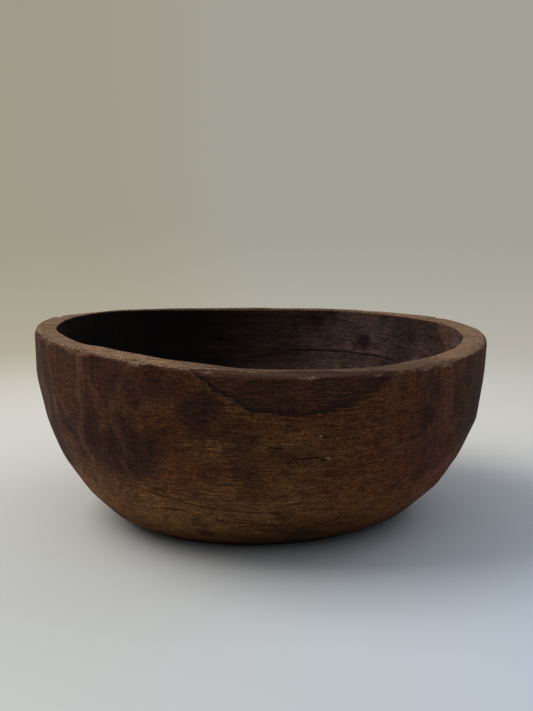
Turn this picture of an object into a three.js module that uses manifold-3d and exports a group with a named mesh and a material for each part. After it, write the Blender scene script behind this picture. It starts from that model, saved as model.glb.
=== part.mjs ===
// A wide wooden bowl hewn from one block of a log, in the order in which its maker works:
// the blank is cut to a rough oval, its outside is hewn in flat adze strokes, the hollow is
// hewn in the same way, the rim is cut level by eye and its outer edge is worn round.
// Millimetres, +Z up. X runs along the grain. The origin is on the table, under the middle of the mouth.
import * as THREE from "three";
import { mergeVertices } from "three/addons/utils/BufferGeometryUtils.js";
import Module from "manifold-3d";

const wasm = await Module();
wasm.setup();

// Driving dimensions of the bowl.
const MOUTH_LENGTH = 400;
const MOUTH_WIDTH = 394;
const RIM_HEIGHT = 162;
const FOOT_LENGTH = 251;
const FOOT_WIDTH = 225;
const FOOT_TURN = (31 * Math.PI) / 180;
const FOOT_OFFSET = 2;
const WALL_AT_ENDS = 21;
const WALL_AT_SIDES = 27;
const FLOOR_THICKNESS = 30;
const HOLLOW_FOOT_LENGTH = 152;
const HOLLOW_FOOT_WIDTH = 146;
const HOLLOW_FOOT_TURN = 0;
const HOLLOW_OFFSET = -3;

// Exponents of the superellipse that each wall follows from its foot to the rim.
const OUTER_BELLY = { outward: 1.21, downward: 2.5 };
const INNER_BELLY = { outward: 1.4, downward: 2.36 };

// The rim line that drying and the maker's eye have left, as waves round the mouth: the first tips it,
// the second bends it to a saddle. Each is a [cosine, sine] pair of heights.
const RIM_WAVES = [
  [-4.7, -1.3],
  [4.2, 2.1],
];

// One adze stroke outside, and one inside: width, length, depth, and how far it strays from true.
// A column of strokes strays sideways by a share of its width and each stroke in it by a smaller one.
// A stroke strays up or down by a share of its height, and the last row lies close above the foot.
const OUTER_STROKE = { width: 22, length: 34, depth: 1.1, strayDepth: 0.5, strayTilt: 0.016 };
const INNER_STROKE = { width: 26, length: 36, depth: 0.8, strayDepth: 0.35, strayTilt: 0.012 };
const STRAY_PLACE = 0.24;
const STRAY_STROKE = 0.06;
const STRAY_ROW = 0.09;
const LAST_ROW = 0.02;

// The worn outer edge of the rim: how wide and how steep the wear is, and how much it varies.
const EDGE_WEAR = 3.2;
const EDGE_WEAR_STRAY = 1.6;
const EDGE_WEAR_ANGLE = Math.PI / 4;

// The check that has opened along the grain as the wood dried: a narrow wedge down through the rim's left end.
const CHECK_ASIDE = -20;
const CHECK_WIDTH = 1.6;
const CHECK_DEPTH = 22;

// Spare wood that the strokes take off, spare height that the rim cut takes off,
// and the steps in which the round forms are drawn.
const HEWING_ALLOWANCE = 5;
const SAWN_TOP = 30;
const ROUND_SEGMENTS = 96;
const PROFILE_STEPS = 28;
const WALL_SAMPLES = 200;

const WOOD = new THREE.MeshStandardMaterial({ color: 0x4a2e1c, roughness: 0.72, metalness: 0 });

// A repeatable stream of numbers from -1 to 1, which stands for the unevenness of hand work.
function handUnevenness(seed) {
  let state = seed;
  return () => {
    state = (Math.imul(state, 1664525) + 1013904223) >>> 0;
    return state / 2 ** 31 - 1;
  };
}

// A closed three.js geometry as a solid that can be joined and cut.
function solidOf(geometry) {
  const bare = geometry.clone();
  bare.deleteAttribute("normal");
  bare.deleteAttribute("uv");
  const merged = mergeVertices(bare, 1e-4);
  return new wasm.Manifold(
    new wasm.Mesh({
      numProp: 3,
      vertProperties: merged.attributes.position.array,
      triVerts: new Uint32Array(merged.index.array),
    }),
  );
}

// A finished solid as a three.js geometry.
function geometryOf(solid) {
  const mesh = solid.getMesh();
  const geometry = new THREE.BufferGeometry();
  geometry.setAttribute("position", new THREE.BufferAttribute(mesh.vertProperties, 3));
  geometry.setIndex(new THREE.BufferAttribute(mesh.triVerts, 1));
  geometry.computeVertexNormals();
  return geometry;
}

// The two true forms, outside and hollow: each runs from a flat oval foot up a superellipse wall to the mouth.
const OUTSIDE = {
  mouth: [MOUTH_LENGTH / 2, MOUTH_WIDTH / 2],
  foot: [FOOT_LENGTH / 2, FOOT_WIDTH / 2],
  footTurn: FOOT_TURN,
  footAside: FOOT_OFFSET,
  belly: OUTER_BELLY,
  bottom: 0,
};
const HOLLOW = {
  mouth: [MOUTH_LENGTH / 2 - WALL_AT_ENDS, MOUTH_WIDTH / 2 - WALL_AT_SIDES],
  foot: [HOLLOW_FOOT_LENGTH / 2, HOLLOW_FOOT_WIDTH / 2],
  footTurn: HOLLOW_FOOT_TURN,
  footAside: HOLLOW_OFFSET,
  belly: INNER_BELLY,
  bottom: FLOOR_THICKNESS,
};

// Share of the way from foot to mouth that a form's wall has swung out at a share of its height.
// Past the rim the wall stays upright.
function swing(form, heightShare) {
  const down = (1 - Math.min(1, heightShare)) ** form.belly.downward;
  return (1 - down) ** (1 / form.belly.outward);
}

// A point on an oval of two half widths, turned about the upright axis.
function ovalPoint([halfLength, halfWidth], turn, angle) {
  const along = halfLength * Math.cos(angle - turn);
  const across = halfWidth * Math.sin(angle - turn);
  return new THREE.Vector2(along, across).rotateAround(new THREE.Vector2(), turn);
}

// A point on a form, at an angle round the mouth and a share of the height from foot to rim.
function wallPoint(form, angle, heightShare, allowance = 0) {
  const mouth = ovalPoint(form.mouth, 0, angle);
  const foot = ovalPoint(form.foot, form.footTurn, angle);
  const plan = foot.lerp(mouth, swing(form, heightShare));
  const aside = form.footAside * (1 - Math.min(1, heightShare)) ** 2;
  return new THREE.Vector3(
    plan.x + allowance * Math.cos(angle) + aside,
    plan.y + allowance * Math.sin(angle),
    form.bottom + (RIM_HEIGHT - form.bottom) * heightShare,
  );
}

// The outward direction of a form's wall at a point, from two short steps along the wall.
function wallNormal(form, angle, heightShare) {
  const step = 1e-3;
  const here = wallPoint(form, angle, heightShare);
  const round = wallPoint(form, angle + step, heightShare).sub(here);
  const up = wallPoint(form, angle, heightShare + step).sub(here);
  return round.cross(up).normalize();
}

// The rough block of a form: a revolved outline, drawn out to the oval and standing past the rim.
function blank(form) {
  const wall = Array.from({ length: PROFILE_STEPS + 1 }, (_, i) => (i / PROFILE_STEPS) ** 2);
  const top = 1 + SAWN_TOP / (RIM_HEIGHT - form.bottom);
  const heights = [0, ...wall, top, top];
  const onAxis = (i) => i === 0 || i === heights.length - 1;
  const outline = heights.map((_, i) => new THREE.Vector2(onAxis(i) ? 0 : 1, i));
  const geometry = new THREE.LatheGeometry(outline, ROUND_SEGMENTS);
  // The outline is turned about Y with one step of height to each unit, then each vertex goes to its place.
  const place = geometry.attributes.position;
  for (let i = 0; i < place.count; i++) {
    const step = Math.round(place.getY(i));
    const angle = Math.atan2(-place.getZ(i), place.getX(i));
    const point = wallPoint(form, angle, heights[step], HEWING_ALLOWANCE);
    if (onAxis(step)) point.setX(0).setY(0);
    place.setXYZ(i, point.x, point.y, point.z);
  }
  return solidOf(geometry);
}

// The wood outside a flat cut: a block that stands on the plane through a point, on the side of its normal.
const CUT_BLOCK = 3 * Math.max(MOUTH_LENGTH, MOUTH_WIDTH, RIM_HEIGHT);
function cutBlock(point, normal) {
  const geometry = new THREE.BoxGeometry(CUT_BLOCK, CUT_BLOCK, CUT_BLOCK);
  geometry.translate(0, 0, CUT_BLOCK / 2);
  const turn = new THREE.Quaternion().setFromUnitVectors(new THREE.Vector3(0, 0, 1), normal);
  geometry.applyQuaternion(turn);
  geometry.translate(point.x, point.y, point.z);
  return solidOf(geometry);
}

// Height shares at which rows of strokes lie, one stroke's length apart from the rim down to the foot.
function strokeRows(form, stroke) {
  const samples = Array.from({ length: WALL_SAMPLES + 1 }, (_, i) => wallPoint(form, 0, 1 - i / WALL_SAMPLES));
  const run = [0];
  for (let i = 1; i < samples.length; i++) {
    run.push(run[i - 1] + samples[i].distanceTo(samples[i - 1]));
  }
  const rows = Math.ceil(run.at(-1) / stroke.length);
  return Array.from({ length: rows }, (_, row) => {
    const below = run.findIndex((length) => length >= (row + 0.5) * stroke.length);
    return below < 0 ? LAST_ROW : Math.max(LAST_ROW, 1 - below / WALL_SAMPLES);
  });
}

// Hews a form: the strokes follow one another down the wall in columns, and every stroke is a flat
// cut, a little off in place, tilt and depth.
function hewn(form, stroke, seed) {
  const uneven = handUnevenness(seed);
  const girth = 2 * Math.PI * wallPoint(form, Math.PI / 4, 1).setZ(0).length();
  const columns = Math.max(8, Math.round(girth / stroke.width));
  const columnStray = Array.from({ length: columns }, () => STRAY_PLACE * uneven());
  let body = blank(form);
  for (const rowShare of strokeRows(form, stroke)) {
    for (let i = 0; i < columns; i++) {
      const angle = (2 * Math.PI * (i + columnStray[i] + STRAY_STROKE * uneven())) / columns;
      const share = Math.max(LAST_ROW, rowShare * (1 + STRAY_ROW * uneven()));
      const normal = wallNormal(form, angle, share);
      normal.add(new THREE.Vector3(uneven(), uneven(), uneven()).multiplyScalar(stroke.strayTilt)).normalize();
      const depth = stroke.depth + stroke.strayDepth * uneven();
      const point = wallPoint(form, angle, share).addScaledVector(normal, -depth);
      body = body.subtract(cutBlock(point, normal));
    }
  }
  return body;
}

// Height of the rim line above or below RIM_HEIGHT at an angle round the mouth.
function rimWave(angle) {
  return RIM_WAVES.reduce(
    (sum, [cosine, sine], i) => sum + cosine * Math.cos((i + 1) * angle) + sine * Math.sin((i + 1) * angle),
    0,
  );
}

// Everything above the rim: a drum whose underside follows the rim line.
function rimCut() {
  const reach = 1.3;
  const tall = 2 * SAWN_TOP + RIM_HEIGHT;
  const drum = new THREE.CylinderGeometry(1, 1, tall, ROUND_SEGMENTS).rotateX(Math.PI / 2);
  const place = drum.attributes.position;
  for (let i = 0; i < place.count; i++) {
    const radius = reach * Math.hypot(place.getX(i), place.getY(i));
    const angle = Math.atan2(place.getY(i), place.getX(i));
    const below = place.getZ(i) < 0;
    const z = RIM_HEIGHT + (below ? radius * rimWave(angle) : tall);
    place.setXYZ(i, (place.getX(i) * reach * MOUTH_LENGTH) / 2, (place.getY(i) * reach * MOUTH_WIDTH) / 2, z);
  }
  return solidOf(drum);
}

// Wears the rim's outer edge round with short slanting flats, one to each stroke of the top row.
function withWornEdge(body) {
  const uneven = handUnevenness(11);
  const girth = Math.PI * Math.sqrt((MOUTH_LENGTH ** 2 + MOUTH_WIDTH ** 2) / 2);
  const flats = Math.max(8, Math.round(girth / OUTER_STROKE.width));
  let worn = body;
  for (let i = 0; i < flats; i++) {
    const angle = (2 * Math.PI * (i + STRAY_PLACE * uneven())) / flats;
    const edge = wallPoint(OUTSIDE, angle, 1).setZ(RIM_HEIGHT + rimWave(angle));
    const normal = wallNormal(OUTSIDE, angle, 0.98).setZ(0).normalize();
    normal.multiplyScalar(Math.cos(EDGE_WEAR_ANGLE)).setZ(Math.sin(EDGE_WEAR_ANGLE));
    const wear = EDGE_WEAR + EDGE_WEAR_STRAY * uneven();
    worn = worn.subtract(cutBlock(edge.addScaledVector(normal, -wear * Math.sin(EDGE_WEAR_ANGLE)), normal));
  }
  return worn;
}

// The drying check: a wedge that runs along the grain from outside the left end into the hollow.
function dryingCheck() {
  const outline = new THREE.Shape([
    new THREE.Vector2(-CHECK_WIDTH / 2, SAWN_TOP),
    new THREE.Vector2(-CHECK_WIDTH / 2, 0),
    new THREE.Vector2(0, -CHECK_DEPTH),
    new THREE.Vector2(CHECK_WIDTH / 2, 0),
    new THREE.Vector2(CHECK_WIDTH / 2, SAWN_TOP),
  ]);
  const wedge = new THREE.ExtrudeGeometry(outline, { depth: MOUTH_LENGTH / 4, bevelEnabled: false });
  wedge.rotateX(Math.PI / 2).rotateZ(Math.PI / 2);
  const angle = Math.PI - Math.asin(Math.min(1, CHECK_ASIDE / (MOUTH_WIDTH / 2)));
  return solidOf(wedge.translate(-MOUTH_LENGTH / 2, CHECK_ASIDE, RIM_HEIGHT + rimWave(angle)));
}

const shaped = withWornEdge(hewn(OUTSIDE, OUTER_STROKE, 5).subtract(rimCut()));
const hollowed = shaped.subtract(hewn(HOLLOW, INNER_STROKE, 23));
const bowlSolid = hollowed.subtract(dryingCheck());

const bowl = new THREE.Mesh(geometryOf(bowlSolid), WOOD);
bowl.name = "bowl_body";

const part = new THREE.Group();
part.add(bowl);
export default part;
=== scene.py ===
import math
import bmesh
import bpy
import numpy as np
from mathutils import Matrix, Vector, noise
from mathutils.bvhtree import BVHTree


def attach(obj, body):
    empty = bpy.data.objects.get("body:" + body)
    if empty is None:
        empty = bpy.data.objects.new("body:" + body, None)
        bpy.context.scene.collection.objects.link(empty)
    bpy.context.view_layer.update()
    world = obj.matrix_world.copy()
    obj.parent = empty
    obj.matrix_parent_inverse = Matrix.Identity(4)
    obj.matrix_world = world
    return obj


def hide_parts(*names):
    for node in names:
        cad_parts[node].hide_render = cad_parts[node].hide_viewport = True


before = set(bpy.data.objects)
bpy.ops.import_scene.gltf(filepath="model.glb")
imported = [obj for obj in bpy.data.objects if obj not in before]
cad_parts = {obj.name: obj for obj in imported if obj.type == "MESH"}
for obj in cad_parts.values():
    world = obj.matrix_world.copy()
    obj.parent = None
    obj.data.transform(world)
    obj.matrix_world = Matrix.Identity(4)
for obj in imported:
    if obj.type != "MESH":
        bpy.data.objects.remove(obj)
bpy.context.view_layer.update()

# The bowl: one block of a dark hardwood log, hewn to shape with an adze inside and out, with its
# grain running from left to right. It has no fixed parts. Years of use have worn the ridges between
# the strokes and the rim, stained the sides, and opened checks along the grain.

# Half section of the bowl as radius and height, from under the foot, up the wall, over the rim
# and down the hollow, each with the number of rows of faces up to the next one.
RIM_HEIGHT = 0.162
HOLLOW_FLOOR = 0.030
MOUTH_HALF_LENGTH, MOUTH_HALF_WIDTH = 0.200, 0.197
FOOT_HALF_LENGTH, FOOT_HALF_WIDTH = 0.1255, 0.1125
FOOT_TURN = math.radians(31)
FOOT_ASIDE, HOLLOW_ASIDE = 0.002, -0.003
OUTER_BELLY, INNER_BELLY = (2.5, 1.21), (2.36, 1.4)


def swung_out(height_share, downward, outward):
    return (1 - (1 - height_share) ** downward) ** (1 / outward)


half_section = [(0.0, 0.0, 5), (0.106, 0.0, 5), (0.1185, 0.0004, 3)]
for step in range(1, 24):
    share = (step / 24) ** 1.6
    half_section.append((0.119 + 0.081 * swung_out(share, *OUTER_BELLY), RIM_HEIGHT * share, 3))
half_section += [
    (0.1985, 0.1565, 3), (0.1992, 0.1592, 3), (0.1978, 0.1612, 3), (0.1950, 0.1620, 12),
    (0.1812, 0.1620, 3), (0.1790, 0.1613, 3), (0.1783, 0.1585, 3),
]
for step in range(19, -1, -1):
    share = (step / 20) ** 1.4
    hollow_height = HOLLOW_FLOOR + (RIM_HEIGHT - HOLLOW_FLOOR) * share
    half_section.append((0.075 + 0.103 * swung_out(share, *INNER_BELLY), hollow_height, 3))
half_section += [(0.066, HOLLOW_FLOOR, 5), (0.0, HOLLOW_FLOOR, 0)]

bowl_mesh = bmesh.new()
section = []
for (radius, height, rows), (next_radius, next_height, _) in zip(half_section, half_section[1:]):
    for row in range(rows):
        share = row / rows
        section.append(bowl_mesh.verts.new((
            radius + (next_radius - radius) * share, 0, height + (next_height - height) * share,
        )))
section.append(bowl_mesh.verts.new((0, 0, half_section[-1][1])))
for low, high in zip(section, section[1:]):
    bowl_mesh.edges.new((low, high))
bmesh.ops.spin(
    bowl_mesh, geom=bowl_mesh.verts[:] + bowl_mesh.edges[:], cent=(0, 0, 0), axis=(0, 0, 1),
    angle=2 * math.pi, steps=500, use_merge=True,
)
bmesh.ops.remove_doubles(bowl_mesh, verts=bowl_mesh.verts, dist=1e-6)
bmesh.ops.recalc_face_normals(bowl_mesh, faces=bowl_mesh.faces)

# What the finish needs to know of each vertex: how far it belongs to the hollow, to the top of the
# rim, to a worn ridge between two strokes and to a fresh chip, the shade of its stroke, and its
# distance from the heart of the log.
hollow_layer = bowl_mesh.verts.layers.float.new("hollow")
rim_layer = bowl_mesh.verts.layers.float.new("rim")
ridge_layer = bowl_mesh.verts.layers.float.new("ridge")
stroke_layer = bowl_mesh.verts.layers.float.new("stroke")
ring_layer = bowl_mesh.verts.layers.float.new("ring")
chip_layer = bowl_mesh.verts.layers.float.new("chip")


def smooth_step(low, high, value):
    share = min(1.0, max(0.0, (value - low) / (high - low)))
    return share * share * (3 - 2 * share)


def rim_wave(angle):
    return (
        -4.7 * math.cos(angle) - 1.3 * math.sin(angle)
        + 4.2 * math.cos(2 * angle) + 2.1 * math.sin(2 * angle)
    ) / 1000


# Each vertex's neighbours round the bowl and up the wall, found while the shape is a true turning,
# and how far the wall there is clear of the foot's and the rim's edges.
bowl_mesh.verts.index_update()
count = len(bowl_mesh.verts)
round_pairs = np.tile(np.arange(count), (2, 1))
upward_pairs = np.tile(np.arange(count), (2, 1))
clear_wall = np.zeros((count, 1))
for vertex in bowl_mesh.verts:
    others = [edge.other_vert(vertex) for edge in vertex.link_edges]
    level = [
        other for other in others
        if abs(other.co.z - vertex.co.z) < 1e-5
        and abs(other.co.xy.length - vertex.co.xy.length) < 1e-5
    ]
    rest = [other.index for other in others if other not in level]
    if len(level) == 2 and len(rest) == 2:
        level.sort(key=lambda other: vertex.co.xy.cross(other.co.xy))
        round_pairs[:, vertex.index] = [other.index for other in level]
        upward_pairs[:, vertex.index] = rest
        clear_wall[vertex.index] = (
            smooth_step(0.004, 0.012, vertex.co.z) * smooth_step(0.157, 0.148, vertex.co.z)
        )

# The turned shape is drawn out to the oval, bent to the rim line, and laid on the hewn solid.
RIM_TOP_FROM = 0.1605
OUTER_OVAL, HOLLOW_OVAL = 0.985, 0.95
hewn_solid = bmesh.new()
hewn_solid.from_mesh(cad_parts["bowl_body"].data)
bmesh.ops.remove_doubles(hewn_solid, verts=hewn_solid.verts, dist=1e-6)
hewn_surface = BVHTree.FromBMesh(hewn_solid)
hewn_solid.free()
for vertex in bowl_mesh.verts:
    turned_x, turned_y, turned_z = vertex.co
    radius = math.hypot(turned_x, turned_y)
    angle = math.atan2(turned_y, turned_x)
    wall_middle = 0.0955 + 0.0935 * swung_out(min(1, turned_z / RIM_HEIGHT), *INNER_BELLY)
    inside = turned_z > 0.02 and radius < wall_middle - (0.004 if turned_z < 0.15 else 0)
    vertex[hollow_layer] = 1.0 if inside and turned_z < RIM_TOP_FROM else 0.0
    vertex[rim_layer] = smooth_step(0.1598, 0.1614, turned_z)
    oval = HOLLOW_OVAL if inside else OUTER_OVAL
    if turned_z > RIM_TOP_FROM:
        oval = HOLLOW_OVAL + 0.035 * smooth_step(0.178, 0.2, radius)
    lifted = turned_z + rim_wave(angle) * smooth_step(0.06, RIM_HEIGHT, turned_z)
    aside = HOLLOW_ASIDE if inside else FOOT_ASIDE
    near = Vector((turned_x + aside * (1 - turned_z / RIM_HEIGHT) ** 2, turned_y * oval, lifted))
    laid, stroke_normal = hewn_surface.find_nearest(near)[:2]
    vertex.co = laid
    vertex[stroke_layer] = noise.cell(Vector([round(part * 50) + 0.5 for part in stroke_normal]))

# Wear has eased the strokes' edges, least at the two ends, where the end grain is hard. What easing
# takes off the form as a whole is given back. A ridge stands proud of the wall beside it.
hewn = np.array([vertex.co for vertex in bowl_mesh.verts])


def ease(shape):
    for _ in range(60):
        shape = shape * 0.5 + (shape[round_pairs[0]] + shape[round_pairs[1]]) * 0.25
    for _ in range(90):
        bend = shape[upward_pairs[0]] + shape[upward_pairs[1]] - 2 * shape
        shape = shape + clear_wall * bend * 0.25
    return shape


eased = ease(hewn)
eased = eased + ease(hewn - eased)
beside = (hewn[round_pairs[0]] + hewn[round_pairs[1]]) / 2
above = (hewn[upward_pairs[0]] + hewn[upward_pairs[1]]) / 2
bowl_mesh.normal_update()
normals = np.array([vertex.normal for vertex in bowl_mesh.verts])
standing = 1000 * np.maximum(
    ((hewn - beside) * normals).sum(axis=1), 0.12 * ((hewn - above) * normals).sum(axis=1),
)
for _ in range(3):
    standing = standing * 0.5 + (standing[round_pairs[0]] + standing[round_pairs[1]]) * 0.25
for vertex, worn, proud in zip(bowl_mesh.verts, eased, standing):
    vertex[ridge_layer] = proud
    on_wall = (1 - vertex[rim_layer]) * (1 - vertex[hollow_layer])
    kept = 0.15 + 0.65 * smooth_step(0.05, 0.12, abs(vertex.co.x)) * on_wall
    vertex.co = vertex.co.lerp(Vector(worn), 1 - kept)
bmesh.ops.smooth_vert(
    bowl_mesh, verts=[v for v in bowl_mesh.verts if v.co.z > 0.004], factor=0.5,
    use_axis_x=True, use_axis_y=True, use_axis_z=True,
)

# Chips that knocks have taken out of the rim's outer edge: place, half length and depth.
rim_chips = [
    (-0.1805, -0.080, 0.008, 0.0018), (-0.172, -0.098, 0.009, 0.0022), (-0.152, -0.126, 0.006, 0.0015),
    (-0.138, -0.141, 0.007, 0.0018), (-0.117, -0.157, 0.005, 0.0012), (-0.094, -0.172, 0.011, 0.0022),
    (-0.040, -0.190, 0.006, 0.0012), (0.036, -0.191, 0.009, 0.0014), (0.088, -0.175, 0.006, 0.0012),
    (0.126, -0.150, 0.007, 0.0014), (0.146, -0.131, 0.008, 0.0024), (0.187, -0.062, 0.008, 0.0018),
    (0.176, 0.090, 0.008, 0.0020), (0.110, 0.163, 0.010, 0.0020), (0.020, 0.194, 0.006, 0.0015),
    (-0.080, 0.179, 0.009, 0.0022), (-0.150, 0.128, 0.007, 0.0018), (-0.190, 0.045, 0.008, 0.0018),
]
# Where the top of the rim slopes in or out: bearing and half width in degrees, and the lift of its
# outer and of its inner edge.
rim_slopes = [(105, 80, 0, 0.0030), (205, 22, 0, -0.0022), (238, 28, 0.0010, 0.0010)]
# Distance from the log's heart of the growth ring along which the front has parted.
SHAKE_RING = 0.2037
bowl_mesh.normal_update()
for vertex in bowl_mesh.verts:
    spot = vertex.co
    # Growth rings lie about the log's heart, which runs along X a little askew.
    from_heart = math.hypot(spot.y - (0.1225 * spot.x - 0.010), spot.z - (0.048 - 0.068 * spot.x))
    from_heart += noise.noise(spot * 14) * 0.0022 + noise.noise(spot * 55) * 0.0016
    from_heart -= 0.0017 * smooth_step(0.135, 0.158, spot.z) * (1 - vertex[rim_layer])
    vertex[ring_layer] = from_heart
    # The surface is never true: slow dents from the blade, and fine ridges along the grain.
    dent = noise.noise(spot * 38) * 0.00035
    raised_grain = noise.noise(Vector((spot.x * 22, spot.y * 230, spot.z * 230))) * 0.00011
    # On the front the wood outside one ring has sunk, and the two have parted at the left.
    on_front = smooth_step(-0.02, -0.06, spot.y) * (1 - vertex[hollow_layer])
    sunk = smooth_step(0.2028, 0.2046, from_heart) * 0.0004
    parted = max(0, 1 - abs(from_heart - SHAKE_RING) / 0.0021) * 0.0010 * smooth_step(0.05, -0.01, spot.x)
    above_floor = smooth_step(0.002, 0.012, spot.z)
    moved = vertex.normal * (dent + raised_grain - (sunk + parted) * on_front) * above_floor
    if spot.z > 0.140 and not vertex[hollow_layer]:
        for chip_x, chip_y, half_length, depth in rim_chips:
            outward = Vector((chip_x, chip_y, 0)).normalized()
            tangent = Vector((-outward.y, outward.x, 0))
            edge_spot = Vector((chip_x, chip_y, RIM_HEIGHT + rim_wave(math.atan2(chip_y, chip_x))))
            offset = spot - edge_spot
            along = offset.dot(tangent) / half_length
            if abs(along) > 1:
                continue
            from_edge = (offset - tangent * offset.dot(tangent)).length / (depth * 2.2)
            ragged = 0.75 + 0.6 * noise.noise(spot * 320)
            bite = smooth_step(0, 0.35, ragged - along * along - from_edge * from_edge * 0.8)
            vertex[chip_layer] = max(vertex[chip_layer], bite)
            moved -= (outward * 0.7 + Vector((0, 0, 0.55))) * depth * bite
    mouth_share = math.hypot(spot.x / MOUTH_HALF_LENGTH, spot.y / MOUTH_HALF_WIDTH)
    inward = smooth_step(0.995, 0.875, mouth_share)
    for bearing, half_turn, outer_lift, inner_lift in rim_slopes:
        turned = abs((math.degrees(math.atan2(spot.y, spot.x)) - bearing + 180) % 360 - 180)
        lift = outer_lift + (inner_lift - outer_lift) * inward
        lift *= smooth_step(half_turn, half_turn * 0.45, turned)
        moved.z += lift * smooth_step(0.125, 0.158, spot.z)
    # The foot is a turned oval, and its edge is worn round.
    foot_along = (spot.x - FOOT_ASIDE) * math.cos(FOOT_TURN) + spot.y * math.sin(FOOT_TURN)
    foot_across = spot.y * math.cos(FOOT_TURN) - (spot.x - FOOT_ASIDE) * math.sin(FOOT_TURN)
    foot_share = math.hypot(foot_along / FOOT_HALF_LENGTH, foot_across / FOOT_HALF_WIDTH)
    worn_foot = 0.0016 * smooth_step(0.92, 1.0, foot_share) * smooth_step(0.016, 0, spot.z)
    vertex.co = spot + moved + Vector((0, 0, worn_foot))

# The drying check through the rim's left end: the wall is parted along the grain, and the middle
# of the parting drops to the bottom of a narrow wedge.
CHECK_Y, CHECK_HALF, CHECK_DEPTH = -0.020, 0.0008, 0.022
LEFT_END = -0.15
for cut_y in (CHECK_Y - CHECK_HALF, CHECK_Y, CHECK_Y + CHECK_HALF):
    end_faces = [
        face for face in bowl_mesh.faces
        if face.calc_center_median().x < LEFT_END and face.calc_center_median().z > 0.135
        and abs(face.calc_center_median().y - CHECK_Y) < 0.012
    ]
    end_edges = list({edge for face in end_faces for edge in face.edges})
    end_verts = list({vertex for face in end_faces for vertex in face.verts})
    bmesh.ops.bisect_plane(
        bowl_mesh, geom=end_verts + end_edges + end_faces, dist=1e-6,
        plane_co=(0, cut_y, 0), plane_no=(0, 1, 0),
    )
check_bottom = RIM_HEIGHT + rim_wave(math.pi + 0.1) - CHECK_DEPTH
for vertex in bowl_mesh.verts:
    if abs(vertex.co.y - CHECK_Y) < 5e-6 and vertex.co.x < LEFT_END and vertex.co.z > check_bottom:
        vertex.co.z = check_bottom

bowl_data = bpy.data.meshes.new("hewn_bowl")
bowl_mesh.to_mesh(bowl_data)
bowl_mesh.free()
for face in bowl_data.polygons:
    face.use_smooth = True
hewn_bowl = bpy.data.objects.new("hewn_bowl", bowl_data)
bpy.context.collection.objects.link(hewn_bowl)
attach(hewn_bowl, "root")
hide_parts("bowl_body")


class Grain:
    """One value of a finish, held as a node socket, so that the finish is written as sums."""

    def __init__(self, tree, socket):
        self.tree = tree
        self.socket = socket

    def node(self, kind, inputs, output=0, **settings):
        made = self.tree.nodes.new(kind)
        for name, value in settings.items():
            setattr(made, name, value)
        for key, value in inputs.items():
            if isinstance(value, Grain):
                self.tree.links.new(value.socket, made.inputs[key])
            else:
                made.inputs[key].default_value = value
        return Grain(self.tree, made.outputs[output])

    def sum(self, operation, first, second):
        return self.node("ShaderNodeMath", {0: first, 1: second}, operation=operation)

    def __add__(self, other):
        return self.sum("ADD", self, other)

    def __radd__(self, other):
        return self.sum("ADD", other, self)

    def __sub__(self, other):
        return self.sum("SUBTRACT", self, other)

    def __rsub__(self, other):
        return self.sum("SUBTRACT", other, self)

    def __mul__(self, other):
        return self.sum("MULTIPLY", self, other)

    def __rmul__(self, other):
        return self.sum("MULTIPLY", other, self)

    def __truediv__(self, other):
        return self.sum("DIVIDE", self, other)

    def __pow__(self, other):
        return self.sum("POWER", self, other)

    def __abs__(self):
        return self.sum("ABSOLUTE", self, 0)


wood = bpy.data.materials.new("aged_wood")
wood.use_nodes = True
wood_tree = wood.node_tree
wood_shader = wood_tree.nodes["Principled BSDF"]
place = Grain(wood_tree, wood_tree.nodes.new("ShaderNodeTexCoord").outputs["Object"])
x = place.node("ShaderNodeSeparateXYZ", {0: place}, 0)
y = place.node("ShaderNodeSeparateXYZ", {0: place}, 1)
z = place.node("ShaderNodeSeparateXYZ", {0: place}, 2)
hollow = place.node("ShaderNodeAttribute", {}, "Fac", attribute_name="hollow")
rim = place.node("ShaderNodeAttribute", {}, "Fac", attribute_name="rim")
ridge = place.node("ShaderNodeAttribute", {}, "Fac", attribute_name="ridge")
stroke = place.node("ShaderNodeAttribute", {}, "Fac", attribute_name="stroke")
ring = place.node("ShaderNodeAttribute", {}, "Fac", attribute_name="ring")
chip = place.node("ShaderNodeAttribute", {}, "Fac", attribute_name="chip")


def between(value, low, high):
    return value.node(
        "ShaderNodeMapRange", {"Value": value, "From Min": low, "From Max": high},
        interpolation_type="SMOOTHSTEP",
    )


def blend(share, first, second, how="MIX"):
    return share.node(
        "ShaderNodeMix", {0: share, 6: first, 7: second}, 2, data_type="RGBA", blend_type=how,
    )


def cloud(scale, detail=3, roughness=0.5, at=None):
    stretched = place.node("ShaderNodeMapping", {"Vector": at or place, "Scale": scale})
    return place.node(
        "ShaderNodeTexNoise",
        {"Vector": stretched, "Scale": 1.0, "Detail": detail, "Roughness": roughness},
    )


def band(value, half):
    return between(abs(value), half, half * 0.35)


# The fibres run along X and waver.
slow = cloud((11, 24, 24), 2) - 0.5
waver = cloud((30, 60, 60), 2) - 0.5
speckle = cloud((560, 560, 560), 3, 0.65)
wavering = place.node("ShaderNodeCombineXYZ", {0: x, 1: y, 2: z + slow * 0.005 + waver * 0.003})
front = between(y, -0.01, -0.05)
outside = 1 - hollow
sides = between(abs(x), 0.07, 0.14)

streaks = cloud((20, 90, 620), 5, 0.7, wavering)
threads = cloud((70, 260, 1300), 3, 0.65, wavering)
dashes = between(cloud((75, 160, 900), 2, 0.5, wavering), 0.65, 0.72)
pores = between(cloud((150, 260, 1500), 2, 0.5, wavering), 0.62, 0.72)
fibre = cloud((34, 520, 520), 4, 0.6)
patches = cloud((7, 16, 18), 4, 0.55)
blotches = cloud((17, 28, 24), 5, 0.62)
smudges = cloud((38, 60, 70), 5, 0.68)
blade = cloud((330, 330, 14), 4, 0.65)
mottle = cloud((150, 300, 380), 4, 0.7)

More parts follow.
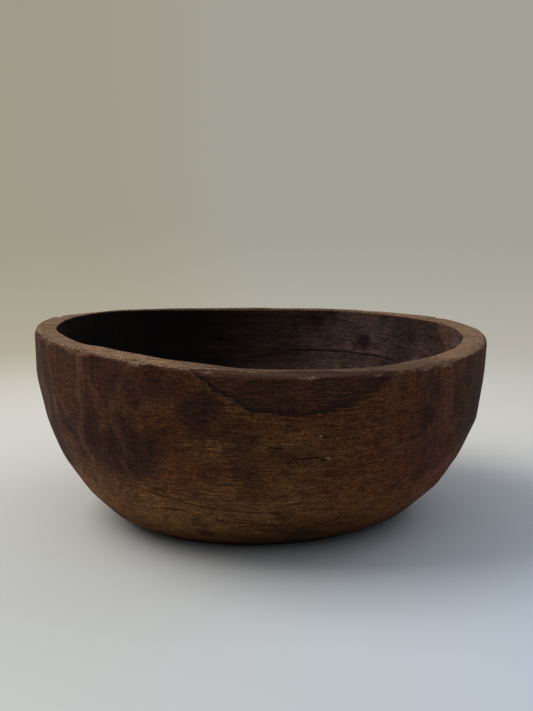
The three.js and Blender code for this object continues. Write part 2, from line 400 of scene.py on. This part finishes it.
brown = (0.080, 0.0265, 0.0085, 1)
golden = (0.156, 0.0745, 0.0255, 1)
orange_brown = (0.135, 0.049, 0.0140, 1)
red_brown = (0.098, 0.0300, 0.0120, 1)
purple_brown = (0.032, 0.0108, 0.0068, 1)
grey_brown = (0.066, 0.0255, 0.0136, 1)
pale_wood = (0.42, 0.30, 0.18, 1)
black_brown = (0.007, 0.0035, 0.0027, 1)

# Broad tones of the sides: warmer low down and in the middle, greyer to the left, redder to the
# right. Each stroke of the blade left its own shade, which shows most at the two ends.
colour = blend(between(patches, 0.36, 0.64), brown, golden)
colour = blend(between(x, -0.03, -0.13) * between(z, 0.03, 0.10) * 0.9, colour, grey_brown)
colour = blend(between(x, 0.02, -0.06) * between(z, 0.09, 0.03) * 0.6, colour, golden)
colour = blend(between(x, 0.03, 0.12) * 0.6, colour, red_brown)
stroke_shade = stroke * (0.1 + 0.9 * sides)
colour = blend(between(stroke_shade, 0.05, 0.9) * 0.7, colour, purple_brown)
colour = blend(between(stroke_shade, -0.05, -0.9) * 0.6, colour, (0.125, 0.058, 0.031, 1))

# Stains and tones where the sides have been handled, oiled and wetted: colour, place along the
# grain, height, half width, half height and strength.
sway = cloud((24, 30, 30), 5, 0.65) - 0.5
drift = cloud((26, 28, 32), 5, 0.65) - 0.5
tones = [
    (golden, -0.035, 0.040, 0.080, 0.034, 0.85), (golden, 0.070, 0.030, 0.050, 0.022, 0.5),
    (golden, 0.020, 0.105, 0.050, 0.020, 0.4), (orange_brown, -0.066, 0.082, 0.020, 0.022, 0.7),
    (orange_brown, -0.074, 0.122, 0.020, 0.026, 0.4), (orange_brown, 0.104, 0.122, 0.018, 0.030, 0.7),
    (orange_brown, 0.018, 0.121, 0.034, 0.010, 0.7), (orange_brown, 0.062, 0.118, 0.020, 0.014, 0.5),
    (red_brown, 0.078, 0.072, 0.050, 0.045, 0.6), (red_brown, 0.105, 0.140, 0.030, 0.020, 0.5),
    (purple_brown, -0.104, 0.090, 0.027, 0.024, 0.8), (purple_brown, -0.148, 0.106, 0.015, 0.016, 0.7),
    (purple_brown, -0.101, 0.148, 0.014, 0.010, 0.6), (purple_brown, -0.046, 0.131, 0.022, 0.013, 0.85),
    (purple_brown, -0.075, 0.145, 0.018, 0.010, 0.45), (purple_brown, 0.030, 0.020, 0.050, 0.020, 0.45),
    (purple_brown, -0.014, 0.096, 0.014, 0.040, 0.5), (purple_brown, -0.034, 0.119, 0.018, 0.010, 0.5),
    (purple_brown, 0.020, 0.098, 0.020, 0.010, 0.4), (purple_brown, 0.132, 0.100, 0.016, 0.050, 0.45),
    (purple_brown, 0.172, 0.110, 0.016, 0.050, 0.7),
]
for tone, tone_x, tone_z, half_width, half_height, strength in tones:
    across = (x + sway * 0.05 - tone_x) / half_width
    over = (z + drift * 0.045 - tone_z) / half_height
    colour = blend(between(across * across + over * over, 1.7, 0.1) * front * strength, colour, tone)
colour = blend(between(blotches, 0.55, 0.72) * 0.6, colour, purple_brown)
colour = blend(between(smudges, 0.54, 0.70) * 0.5, colour, purple_brown)
colour = blend(between(smudges, 0.44, 0.30) * 0.35, colour, orange_brown)

# The lower wall is paler, most to the right. Close to the table it is painted darker, nearly black at the
# foot's edge, as shade where the bowl meets the table.
colour = blend(between(z, 0.095, 0.04) * 0.8, colour, (1.46, 1.46, 1.44, 1), "MULTIPLY")
# Painted shade: the wall just above the table is darkened, and the foot's edge is made nearly black,
# where the contact shadow falls.
colour = blend(between(z, 0.034, 0.006) * 0.8, colour, (0.48, 0.45, 0.44, 1), "MULTIPLY")
colour = blend(between(z + (speckle - 0.5) * 0.006, 0.010, 0.003) * 0.85, colour, black_brown)
low_right = between(x, 0.02, 0.09) * between(z, 0.14, 0.07)
colour = blend(low_right * 0.6, colour, (1.50, 1.46, 1.26, 1), "MULTIPLY")

# Dark wood outside one growth ring, with a shake along it that has opened at its left end.
splintering = cloud((60, 320, 320), 3, 0.6) - 0.5
ragged_ring = ring + (speckle - 0.5) * 0.0008 + splintering * 0.0038
outer_layer = between(ragged_ring, 0.2030, 0.2044) * front
fringe = band(ragged_ring - 0.2016, 0.0018) * between(abs(x - 0.030), 0.045, 0.025) * front
colour = blend(fringe * 0.5, colour, orange_brown)
colour = blend(outer_layer * 0.72, colour, (0.0310, 0.0086, 0.0073, 1))
opened = between(x, 0.010, -0.025)
broken = between(smudges, 0.46, 0.53) * between(x, 0.105, 0.055) * 0.85
from_shake = ragged_ring - SHAKE_RING
shake = band(from_shake, 0.0008) * opened * 0.85 + band(from_shake, 0.0006) * broken
shake = shake.node("ShaderNodeClamp", {0: shake}) * front
shake_stain = band(from_shake, 0.0030) * front * between(smudges, 0.38, 0.6)
# Painted highlight: a thin grey-blue line along the lip of the shake at its left part, where light
# catches the parted edge.
shake_lip_highlight = band(ragged_ring - 0.2030, 0.0004) * front
shake_lip_highlight = shake_lip_highlight * between(x, 0.03, 0.0) * between(mottle, 0.48, 0.56)
under_edge = band(ragged_ring - 0.2056, 0.0026) * front * between(x, 0.035, 0.055)

# Grain lines that come and go, a mottle, the blade's own scratches across the grain, ridges rubbed
# paler, and pores. Each pattern darkens the wood at one end of its range and lightens it at the other.
lined = 0.3 + 0.7 * between(cloud((22, 40, 55), 3, 0.6), 0.38, 0.62)
calm = 1 - 0.45 * sides
grain_dark, grain_light = (0.38, 0.33, 0.30, 1), (1.70, 1.74, 1.78, 1)
for pattern, dark_from, dark_to, dark, light_from, light_to, light in [
    (streaks, 0.40, 0.64, 0.85 * lined, 0.44, 0.28, 0.45 * lined),
    (threads, 0.48, 0.62, 0.85, 0.46, 0.30, 0.60),
    (mottle, 0.50, 0.66, 0.50 * calm, 0.48, 0.34, 0.45 * calm),
    (speckle, 0.50, 0.64, 0.75 * calm, 0.47, 0.34, 0.60 * calm),
    (blade, 0.50, 0.62, 0.25 + 0.45 * sides, 0.46, 0.34, 0.15 + 0.35 * sides),
]:
    colour = blend(between(pattern, dark_from, dark_to) * dark, colour, grain_dark, "MULTIPLY")
    colour = blend(between(pattern, light_from, light_to) * light, colour, grain_light, "MULTIPLY")
rubbed = between(ridge + (mottle - 0.5) * 0.10, 0.012, 0.050) * between(abs(x), 0.05, 0.11) * outside
rubbed = rubbed * (0.75 + 0.25 * between(x, 0.05, -0.05)) * between(smudges, 0.36, 0.56)
colour = blend(rubbed * 0.30, colour, (0.150, 0.082, 0.055, 1))
colour = blend(dashes * 0.65, colour, black_brown)
colour = blend(pores * 0.55, colour, black_brown)

# Openings along the grain on the front: the shake, one long curved check, and short slits, given by
# left end, right end and height.
check_line = 0.0455 + 1.28 * (x - 0.015) ** 2
long_check = band(z + waver * 0.003 - check_line, 0.0008) * between(abs(x + 0.035), 0.072, 0.05)
slits = shake * 0.95 + long_check * front * 0.85
for left_end, right_end, slit_z in [
    (-0.080, -0.058, 0.0435), (-0.030, -0.019, 0.0725), (0.020, 0.047, 0.0945), (0.043, 0.053, 0.0922),
    (0.045, 0.053, 0.1112), (-0.019, -0.007, 0.0305), (0.003, 0.019, 0.1035), (-0.034, -0.028, 0.0365),
]:
    half_slit = (right_end - left_end) / 2
    from_middle = abs(x - (left_end + right_end) / 2) + (smudges - 0.5) * 0.008
    slit = band(z + waver * 0.006 + (speckle - 0.5) * 0.0016 - slit_z, 0.0010)
    slits = slits + slit * between(from_middle, half_slit, half_slit * 0.5) * front
slits = slits.node("ShaderNodeClamp", {0: slits}) * outside
colour = blend(shake_stain * 0.15, colour, black_brown)
colour = blend(under_edge * 0.2, colour, (0.014, 0.0048, 0.0045, 1))
colour = blend(slits * 0.92, colour, black_brown)
# The painted highlight along the shake's lip.
colour = blend(shake_lip_highlight * 0.26, colour, (0.16, 0.120, 0.110, 1))

# Pale splinters where a slit has lifted: place along the grain, height, half width, half height.
for fleck_x, fleck_z, half_width, half_height in [
    (0.0505, 0.0935, 0.0030, 0.0011), (0.0445, 0.1120, 0.0020, 0.0009), (-0.002, 0.0235, 0.0040, 0.0008),
    (0.030, 0.1570, 0.0040, 0.0010), (0.040, 0.1572, 0.0030, 0.0009), (-0.031, 0.0395, 0.0016, 0.0008),
]:
    across = (x + (threads - 0.5) * 0.004 - fleck_x) / half_width
    over = (z + (speckle - 0.5) * 0.004 - fleck_z) / half_height
    fleck = between(across * across + over * over, 1.0, 0.3) * front * outside
    colour = blend(fleck * 0.5, colour, pale_wood)

# Age has warmed the whole. The left end is paler, and the right end redder.
colour = blend(outside, colour, (1.03, 0.955, 0.83, 1), "MULTIPLY")
colour = blend(between(x, -0.06, -0.13) * outside, colour, (1.17, 1.16, 1.14, 1), "MULTIPLY")
colour = blend(between(x, 0.11, 0.16) * outside, colour, (1.09, 0.93, 0.86, 1), "MULTIPLY")

# The rim's top: bare, rubbed wood, darker beyond the ring, in the middle of the front and at the back.
rim_fibre = cloud((42, 640, 640), 5, 0.72)
rim_tone = blend(between(rim_fibre, 0.44, 0.60), (0.285, 0.162, 0.090, 1), (0.075, 0.038, 0.021, 1))
rim_tone = blend(between(speckle, 0.50, 0.62) * 0.6, rim_tone, (0.40, 0.255, 0.160, 1))
rim_tone = blend(between(speckle, 0.47, 0.36) * 0.7, rim_tone, (0.050, 0.024, 0.0145, 1))
rim_tone = blend(between(smudges, 0.50, 0.62) * 0.55, rim_tone, (0.105, 0.052, 0.031, 1))
rim_tone = blend(rim, rim_tone, (0.87, 0.87, 0.85, 1), "MULTIPLY")
rim_tone = blend(outer_layer, rim_tone, (0.40, 0.28, 0.23, 1), "MULTIPLY")
rim_tone = blend(outer_layer * 0.5, rim_tone, (0.062, 0.0235, 0.0130, 1))
front_rim = between(y, -0.10, -0.15)
middle_rim = front_rim * between(abs(x - 0.055), 0.125, 0.08)
rim_tone = blend(middle_rim, rim_tone, (0.78, 0.74, 0.72, 1), "MULTIPLY")
rim_tone = blend(middle_rim * between(y, -0.188, -0.176), rim_tone, (0.60, 0.58, 0.58, 1), "MULTIPLY")
rim_tone = blend(front_rim * between(x, -0.06, -0.09), rim_tone, (1.06, 1.06, 1.06, 1), "MULTIPLY")
back_rim = between(y, 0.08, 0.13) * between(x, 0.12, 0.05)
rim_tone = blend(back_rim, rim_tone, (0.62, 0.58, 0.55, 1), "MULTIPLY")
rim_tone = blend(shake * 0.8, rim_tone, black_brown)
drying_check = band(y - CHECK_Y + (smudges - 0.5) * 0.003, 0.0032) * between(x, -0.172, -0.180)
rim_tone = blend(drying_check * 0.9, rim_tone, (0.035, 0.030, 0.027, 1))
worn_edge = between(rim + (speckle - 0.5) * 0.9 + (blotches - 0.5) * 0.8, 0.35, 0.75)
colour = blend(worn_edge, colour, rim_tone)

# The hollow: darkened by what it has held, and painted darker still at the left end as shade deep under
# the left wall, with a knot, a crack and a ledge left by the blade.
hollow_tone = blend(between(patches, 0.38, 0.62), (0.056, 0.0300, 0.0240, 1), (0.125, 0.074, 0.061, 1))
# The first tone, a bright orange patch high at the right end, is partly the wood's own tone and partly
# painted light where the facets there face the window.
for tone, tone_middle, reach, strength in [
    ((0.145, 0.058, 0.036, 1), (0.174, 0.040, 0.157), 0.024, 0.7),
    ((0.018, 0.007, 0.0055, 1), (0.106, 0.134, 0.130), 0.013, 0.9),
    ((0.150, 0.100, 0.072, 1), (0.071, 0.143, 0.106), 0.016, 0.7),
    ((0.012, 0.007, 0.006, 1), (0.034, 0.150, 0.120), 0.016, 0.85),
]:
    apart = place.node("ShaderNodeVectorMath", {0: place, 1: tone_middle}, "Value", operation="DISTANCE")
    hollow_tone = blend(between(apart + sway * 0.016, reach, reach * 0.35) * strength, hollow_tone, tone)
hollow_tone = blend(between(streaks, 0.40, 0.64) * 0.8, hollow_tone, (0.35, 0.32, 0.32, 1), "MULTIPLY")
hollow_tone = blend(between(smudges, 0.50, 0.66) * 0.6, hollow_tone, black_brown)
hollow_tone = blend(between(mottle, 0.50, 0.64) * 0.7, hollow_tone, (0.45, 0.42, 0.42, 1), "MULTIPLY")
hollow_tone = blend(between(mottle, 0.47, 0.34) * 0.6, hollow_tone, (1.7, 1.6, 1.5, 1), "MULTIPLY")
hollow_tone = blend(between(speckle, 0.50, 0.62) * 0.5, hollow_tone, (0.5, 0.48, 0.48, 1), "MULTIPLY")
hollow_tone = blend(between(x, 0.06, 0.14), hollow_tone, (1.15, 1.22, 1.28, 1), "MULTIPLY")
hollow_tone = blend(between(stroke, 0.4, 1.0) * 0.4, hollow_tone, (0.5, 0.5, 0.5, 1), "MULTIPLY")
ledge = band(z + slow * 0.006 + (smudges - 0.5) * 0.003 - 0.1175, 0.0016)
ledge = ledge * between(abs(x - 0.080), 0.062, 0.045)
inner_crack = band(x - 0.033 - (0.148 - z) * 0.33 + waver * 0.002, 0.0008) * band(z - 0.142, 0.010)
hollow_tone = blend((ledge + inner_crack) * between(y, 0.06, 0.09) * 0.9, hollow_tone, black_brown)
# Painted shade: the hollow's left end darkened nearly to black, partly a stain and partly the shade that
# falls there under the left wall.
hollow_tone = blend(between(x, 0.06, -0.09) * 0.97, hollow_tone, (0.06, 0.05, 0.05, 1), "MULTIPLY")
hollow_tone = blend(between(z, 0.121, 0.113) * 0.8, hollow_tone, (0.55, 0.52, 0.52, 1), "MULTIPLY")
hollow_tone = blend(hollow, hollow_tone, (0.95, 0.91, 0.88, 1), "MULTIPLY")
colour = blend(hollow * (1 - worn_edge), colour, hollow_tone)

# Chips show paler, splintered wood.
splinter = chip * between(speckle + (fibre - 0.5) * 0.5, 0.46, 0.64)
colour = blend(chip * 0.35, colour, (0.12, 0.067, 0.040, 1))
colour = blend(splinter * 0.34, colour, (0.42, 0.31, 0.21, 1))

wood_tree.links.new(colour.socket, wood_shader.inputs["Base Color"])
rough = 0.66 + speckle * 0.2 + hollow * 0.14
wood_tree.links.new(rough.socket, wood_shader.inputs["Roughness"])
wood_shader.inputs["Specular IOR Level"].default_value = 0.14
surface = speckle * 0.35 - streaks * 0.5 - threads * 0.3 - dashes * 0.6 - pores * 0.4 - slits * 1.5
relief = place.node(
    "ShaderNodeBump", {"Height": surface + splinter * 0.4, "Distance": 0.0007, "Strength": 0.8},
)
wood_tree.links.new(relief.socket, wood_shader.inputs["Normal"])
bowl_data.materials.append(wood)

# The pale floor that the bowl stands on. Away from the bowl, for the camera, it glows with painted light
# instead of being lit, brighter near the bowl and warmer to the left, and so runs into the backdrop.
floor_mesh = bmesh.new()
bmesh.ops.create_grid(floor_mesh, x_segments=1, y_segments=1, size=40)
floor_data = bpy.data.meshes.new("pale_floor")
floor_mesh.to_mesh(floor_data)
floor_mesh.free()
pale_floor = bpy.data.objects.new("pale_floor", floor_data)
bpy.context.collection.objects.link(pale_floor)
backdrop_low = (0.520, 0.495, 0.430, 1)
backdrop_high = (0.366, 0.356, 0.308, 1)
warm_light_left = (0.97, 0.92, 0.83, 1)
LEFT_FADE = (0.05, -0.25)
paper = bpy.data.materials.new("pale_paper")
paper.use_nodes = True
paper_tree = paper.node_tree
paper_shader = paper_tree.nodes["Principled BSDF"]
paper_shader.inputs["Roughness"].default_value = 0.9
floor_spot = Grain(paper_tree, paper_tree.nodes.new("ShaderNodeTexCoord").outputs["Object"])
floor_x = floor_spot.node("ShaderNodeSeparateXYZ", {0: floor_spot}, 0)
floor_y = floor_spot.node("ShaderNodeSeparateXYZ", {0: floor_spot}, 1)
# Painted light: the floor's own colour is made bluish to the front right, where cool light from the sky
# falls, and warmer behind.
behind = between(floor_y, -0.30, 0.40)
to_right = between(floor_x, -0.15, 0.30)
paper_front_cool_light = blend(to_right, (0.600, 0.611, 0.590, 1), (0.546, 0.614, 0.708, 1))
paper_colour = blend(behind, paper_front_cool_light, (0.660, 0.640, 0.580, 1))
paper_tree.links.new(paper_colour.socket, paper_shader.inputs["Base Color"])
from_bowl = floor_spot.node("ShaderNodeVectorMath", {0: floor_spot}, "Value", operation="LENGTH")


def in_view(any_value):
    camera_ray = any_value.node("ShaderNodeLightPath", {}, "Is Camera Ray")
    glossy_ray = any_value.node("ShaderNodeLightPath", {}, "Is Glossy Ray")
    clear_ray = any_value.node("ShaderNodeLightPath", {}, "Is Transmission Ray")
    return any_value.node("ShaderNodeClamp", {0: camera_ray + glossy_ray + clear_ray})


# Painted light: the far floor's glowing tone stands in for the lit floor and wall, brighter near the
# bowl, darker far off, and warmer to the left.
away = from_bowl / (from_bowl + 1.2)
far_colour = blend(between(away, 0.15, 0.85), backdrop_low, backdrop_high)
to_left = between(floor_x / from_bowl, *LEFT_FADE)
far_colour = blend(to_left, far_colour, warm_light_left, "MULTIPLY")
far_painted_light = floor_spot.node("ShaderNodeEmission", {"Color": far_colour})
near_tone = Grain(paper_tree, paper_shader.outputs[0])
far_share = between(from_bowl, 0.40, 1.0) * in_view(floor_spot)
fading = floor_spot.node("ShaderNodeMixShader", {0: far_share, 1: near_tone, 2: far_painted_light})
paper_tree.links.new(fading.socket, paper_tree.nodes["Material Output"].inputs["Surface"])
floor_data.materials.append(paper)

# Soft light from all round, and for the camera a backdrop tinted warm at the left with painted light,
# like the far floor.
world = bpy.data.worlds.new("soft_room")
world.use_nodes = True
world_tree = world.node_tree
aim = Grain(world_tree, world_tree.nodes.new("ShaderNodeTexCoord").outputs["Generated"])
left_side = between(aim.node("ShaderNodeSeparateXYZ", {0: aim}, 0), *LEFT_FADE)
backdrop_tone = blend(left_side, backdrop_high, warm_light_left, "MULTIPLY")
backdrop = aim.node("ShaderNodeBackground", {"Color": backdrop_tone})
upward = aim.node("ShaderNodeSeparateXYZ", {0: aim}, 2)
room_tone = blend(between(upward, 0.05, 0.8), (0.020, 0.021, 0.023, 1), (0.530, 0.550, 0.585, 1))
room = aim.node("ShaderNodeBackground", {"Color": room_tone})
sky = aim.node("ShaderNodeMixShader", {0: in_view(aim), 1: room, 2: backdrop})
world_tree.links.new(sky.socket, world_tree.nodes["World Output"].inputs["Surface"])
bpy.context.scene.world = world

# Daylight from a wide window to the left, and a little from the sky to the right.
for lamp_name, wide, high, power, tint, where, target in [
    ("window", 2.2, 2.0, 58, (1.0, 0.97, 0.93), (-1.8, 0.20, 2.3), (0, 0, 0.08)),
    ("sky", 1.6, 1.2, 8, (0.82, 0.92, 1.0), (1.7, 0.9, 1.6), (0.2, -0.1, 0)),
]:
    lamp_data = bpy.data.lights.new(lamp_name, "AREA")
    lamp_data.shape = "RECTANGLE"
    lamp_data.size = wide
    lamp_data.size_y = high
    lamp_data.energy = power
    lamp_data.color = tint
    lamp = bpy.data.objects.new(lamp_name, lamp_data)
    lamp.location = where
    lamp.rotation_euler = (Vector(target) - lamp.location).to_track_quat("-Z", "Y").to_euler()
    bpy.context.collection.objects.link(lamp)

# The camera, at the photograph's height, distance and angle.
lens = bpy.data.cameras.new("viewpoint")
FOCAL_PIXELS, PHOTO_HEIGHT, SENSOR = 1068, 711, 36
lens.lens = FOCAL_PIXELS / PHOTO_HEIGHT * SENSOR
lens.sensor_width = SENSOR
viewpoint = bpy.data.objects.new("viewpoint", lens)
viewpoint.location = (0.0046, -0.9515, 0.3065)
viewpoint.rotation_euler = (math.radians(90 - 9.961), 0, 0)
bpy.context.collection.objects.link(viewpoint)
bpy.context.scene.camera = viewpoint
bpy.context.scene.view_settings.view_transform = "Standard"
